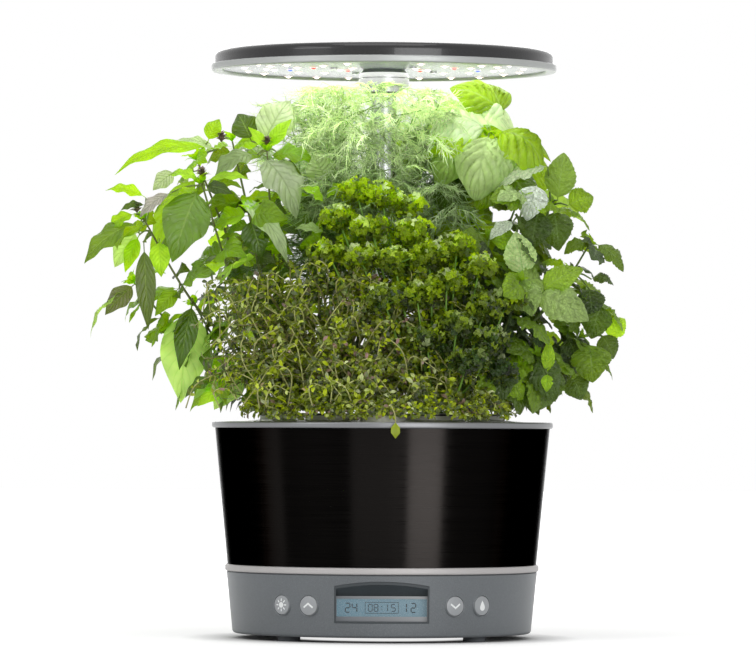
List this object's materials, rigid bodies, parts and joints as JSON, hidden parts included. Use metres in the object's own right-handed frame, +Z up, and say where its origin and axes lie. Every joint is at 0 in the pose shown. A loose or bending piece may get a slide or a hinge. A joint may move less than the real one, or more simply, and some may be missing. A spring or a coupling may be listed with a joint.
{
  "type": "countertop hydroponic garden",
  "caption": "Round countertop hydroponic garden: control base, lift-off water bowl, planted pod deck and a disc grow lamp on a telescoping mast.",
  "frame": {"origin": "on the object's axis, in the plane its rubber feet stand on", "axes": "+Z up along the mast, -Y to the front where the control panel faces, +X to the viewer's right"},
  "size_m": [0.432, 0.2923, 0.4708],
  "materials": {
    "base_paint": "satin slate grey",
    "black_plastic": "matt",
    "screw_steel": "zinc",
    "trim_grey": "satin pale grey",
    "bezel_dark": "gloss",
    "display_face": "backlit blue-grey",
    "display_glass": "clear",
    "board_green": "solder mask",
    "button_grey": "satin",
    "bowl_black": "matt",
    "sleeve_black": "dark brushed, satin",
    "rim_grey": "satin",
    "seal_rubber": "matt",
    "white_plastic": "matt",
    "foam_filter": "open foam",
    "deck_white": "matt",
    "float_red": "satin",
    "tube_silver": "satin anodised",
    "hub_silver": "bright satin",
    "hood_dark": "dark brushed",
    "lamp_ring_silver": "satin",
    "led_board_white": "white solder mask",
    "led_white": "lit, white",
    "led_red": "lit, red",
    "led_blue": "lit, blue",
    "foot_rubber": "matt",
    "collar_paper": "paper",
    "sponge": "peat sponge",
    "leaf_thai_basil": "living leaf and stem",
    "leaf_dill": "living leaf and stem",
    "leaf_sweet_basil": "living leaf and stem",
    "leaf_parsley": "living leaf and stem",
    "leaf_thyme": "living leaf and stem",
    "leaf_mint": "living leaf and stem"
  },
  "bodies": {
    "base": {"base_housing": "base_paint", "base_floor": "black_plastic", "base_screws": "screw_steel", "trim_ring": "trim_grey", "display_bezel": "bezel_dark", "lcd_panel": "display_face", "display_window": "display_glass", "panel_boards": "board_green", "tact_switches": "black_plastic", "power_jack": "black_plastic", "control_board": "board_green", "board_components": "black_plastic", "mast_socket": "black_plastic", "rubber_feet": "foot_rubber"},
    "light_key": {"light_button": "button_grey"},
    "up_key": {"up_button": "button_grey"},
    "down_key": {"down_button": "button_grey"},
    "feed_key": {"feed_button": "button_grey"},
    "bowl": {"bowl": "bowl_black", "bowl_sleeve": "sleeve_black", "bowl_rim": "rim_grey", "chimney_tube": "black_plastic", "chimney_seal": "seal_rubber", "pump_housing": "black_plastic", "pump_cover": "black_plastic", "pump_filter": "foam_filter"},
    "impeller": {"pump_impeller": "white_plastic"},
    "deck": {"grow_deck": "deck_white", "pod_collars": "collar_paper", "grow_sponges": "sponge", "pod_basket_1": "black_plastic", "pod_basket_2": "black_plastic", "pod_basket_3": "black_plastic", "pod_basket_4": "black_plastic", "pod_basket_5": "black_plastic", "pod_basket_6": "black_plastic", "plant_thai_basil": "leaf_thai_basil", "plant_dill": "leaf_dill", "plant_sweet_basil": "leaf_sweet_basil", "plant_parsley": "leaf_parsley", "plant_thyme": "leaf_thyme", "plant_mint": "leaf_mint"},
    "gauge": {"level_float": "white_plastic", "level_stem": "float_red"},
    "mast": {"mast_tube": "tube_silver", "mast_plug": "black_plastic", "mast_collar": "tube_silver", "mast_bush": "white_plastic"},
    "lamp": {"slider_tube": "tube_silver", "slider_guide": "black_plastic", "lamp_hub": "hub_silver", "hub_rings": "hub_silver", "lamp_hood": "hood_dark", "lamp_ring": "lamp_ring_silver", "led_board": "led_board_white", "heat_spreader": "tube_silver", "leds_white": "led_white", "leds_red": "led_red", "leds_blue": "led_blue", "lamp_screws": "screw_steel"}
  },
  "joints": [
    {"name": "light_press", "type": "slide", "parent": "base", "child": "light_key", "axis": [0.6428, 0.766, 0], "range_m": [0, 0.0008], "stiffness_N_per_m": 800, "springref_m": -0.001},
    {"name": "up_press", "type": "slide", "parent": "base", "child": "up_key", "axis": [0.4695, 0.8829, 0], "range_m": [0, 0.0008], "stiffness_N_per_m": 800, "springref_m": -0.001},
    {"name": "down_press", "type": "slide", "parent": "base", "child": "down_key", "axis": [-0.4695, 0.8829, 0], "range_m": [0, 0.0008], "stiffness_N_per_m": 800, "springref_m": -0.001},
    {"name": "feed_press", "type": "slide", "parent": "base", "child": "feed_key", "axis": [-0.6428, 0.766, 0], "range_m": [0, 0.0008], "stiffness_N_per_m": 800, "springref_m": -0.001},
    {"name": "bowl_lift", "type": "slide", "parent": "base", "child": "bowl", "axis": [0, 0, 1], "range_m": [0, 0.1]},
    {"name": "impeller_spin", "type": "hinge", "parent": "bowl", "child": "impeller", "pos_m": [0, -0.072, 0.075], "axis": [0, 0, 1], "continuous": true},
    {"name": "deck_lift", "type": "slide", "parent": "bowl", "child": "deck", "axis": [0, 0, 1], "range_m": [0, 0.15]},
    {"name": "gauge_float", "type": "slide", "parent": "deck", "child": "gauge", "axis": [0, 0, 1], "range_m": [0, 0.016]},
    {"name": "mast_lift", "type": "slide", "parent": "deck", "child": "mast", "axis": [0, 0, 1], "range_m": [0, 0.15]},
    {"name": "lamp_height", "type": "slide", "parent": "mast", "child": "lamp", "axis": [0, 0, 1], "range_m": [-0.145, 0], "deforming": ["plant_thai_basil", "plant_dill", "plant_sweet_basil", "plant_parsley", "plant_thyme", "plant_mint"]}
  ]
}
